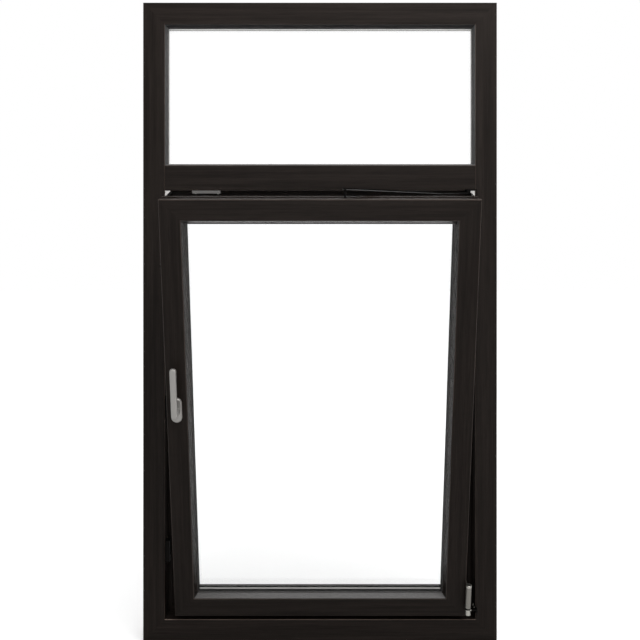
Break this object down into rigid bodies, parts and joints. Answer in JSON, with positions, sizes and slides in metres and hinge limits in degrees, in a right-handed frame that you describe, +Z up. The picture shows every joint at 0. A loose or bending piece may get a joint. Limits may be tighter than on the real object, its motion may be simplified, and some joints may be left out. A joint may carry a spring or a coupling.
{
  "type": "tilt and turn window",
  "caption": "Dark foil-finished window with a fixed toplight over an inward tilt and turn sash, double glazed, with a lever handle and a hinge pivot at the foot.",
  "frame": {"origin": "middle of the frame's underside, halfway through its depth", "axes": "+X to the right as seen from the room, +Y to the outside, +Z up"},
  "size_m": [1, 0.3227, 1.805],
  "materials": {
    "foil": "dark brown-black wood-grain foil, satin",
    "glass": "clear float glass",
    "spacer": "mill-finish aluminium spacer",
    "gasket": "black rubber gasket",
    "fittings": "dull silver-coated steel; the stay arm, its bearing and the jamb strikers are coated dark",
    "handle": "satin titanium-grey"
  },
  "bodies": {
    "frame": {"bottom_bearing": "fittings", "frame_head": "foil", "frame_left_jamb": "foil", "frame_right_jamb": "foil", "frame_sill": "foil", "frame_transom": "foil", "jamb_strikers": "fittings", "rebate_corners": "fittings", "stop_bottom": "foil", "stop_left": "foil", "stop_right": "foil", "stop_seal": "gasket", "stop_top": "foil", "tilt_striker": "fittings", "top_bearing": "fittings", "toplight_bead_bottom": "foil", "toplight_bead_left": "foil", "toplight_bead_right": "foil", "toplight_bead_top": "foil", "toplight_inner_gasket": "gasket", "toplight_inner_pane": "glass", "toplight_outer_gasket": "gasket", "toplight_outer_pane": "glass", "toplight_spacer": "spacer"},
    "hinge": {"bottom_pivot": "fittings", "top_pin": "fittings"},
    "sash": {"sash_bead_bottom": "foil", "sash_bead_left": "foil", "sash_bead_right": "foil", "sash_bead_top": "foil", "sash_bottom_rail": "foil", "sash_hinge_barrel": "fittings", "sash_inner_gasket": "gasket", "sash_inner_pane": "glass", "sash_left_stile": "foil", "sash_outer_gasket": "gasket", "sash_outer_pane": "glass", "sash_right_stile": "foil", "sash_spacer": "spacer", "sash_top_rail": "foil", "lock_rail": "fittings", "handle_rose": "handle"},
    "stay": {"stay_arm": "fittings"},
    "handle": {"handle_lever": "handle"}
  },
  "joints": [
    {"name": "sash_turn", "type": "hinge", "parent": "frame", "child": "hinge", "pos_m": [0.4125, -0.069, 0.1075], "axis": [0, 0, -1], "range_deg": [-90, 0]},
    {"name": "sash_tilt", "type": "hinge", "parent": "hinge", "child": "sash", "pos_m": [0.4125, -0.069, 0.1075], "axis": [1, 0, 0], "range_deg": [-11.4, 0]},
    {"name": "stay_swing", "type": "hinge", "parent": "hinge", "child": "stay", "pos_m": [0.4125, -0.069, 1.2635], "axis": [0, 0, 1], "range_deg": [-34.11, 0]},
    {"name": "handle_turn", "type": "hinge", "parent": "sash", "child": "handle", "pos_m": [-0.3805, -0.17179, 0.68304], "axis": [0, -0.9803, -0.1977], "range_deg": [-180, 0]}
  ],
  "couplings": [
    {"joint": "stay_swing", "follows": "sash_tilt", "ratio": 2.9874}
  ]
}
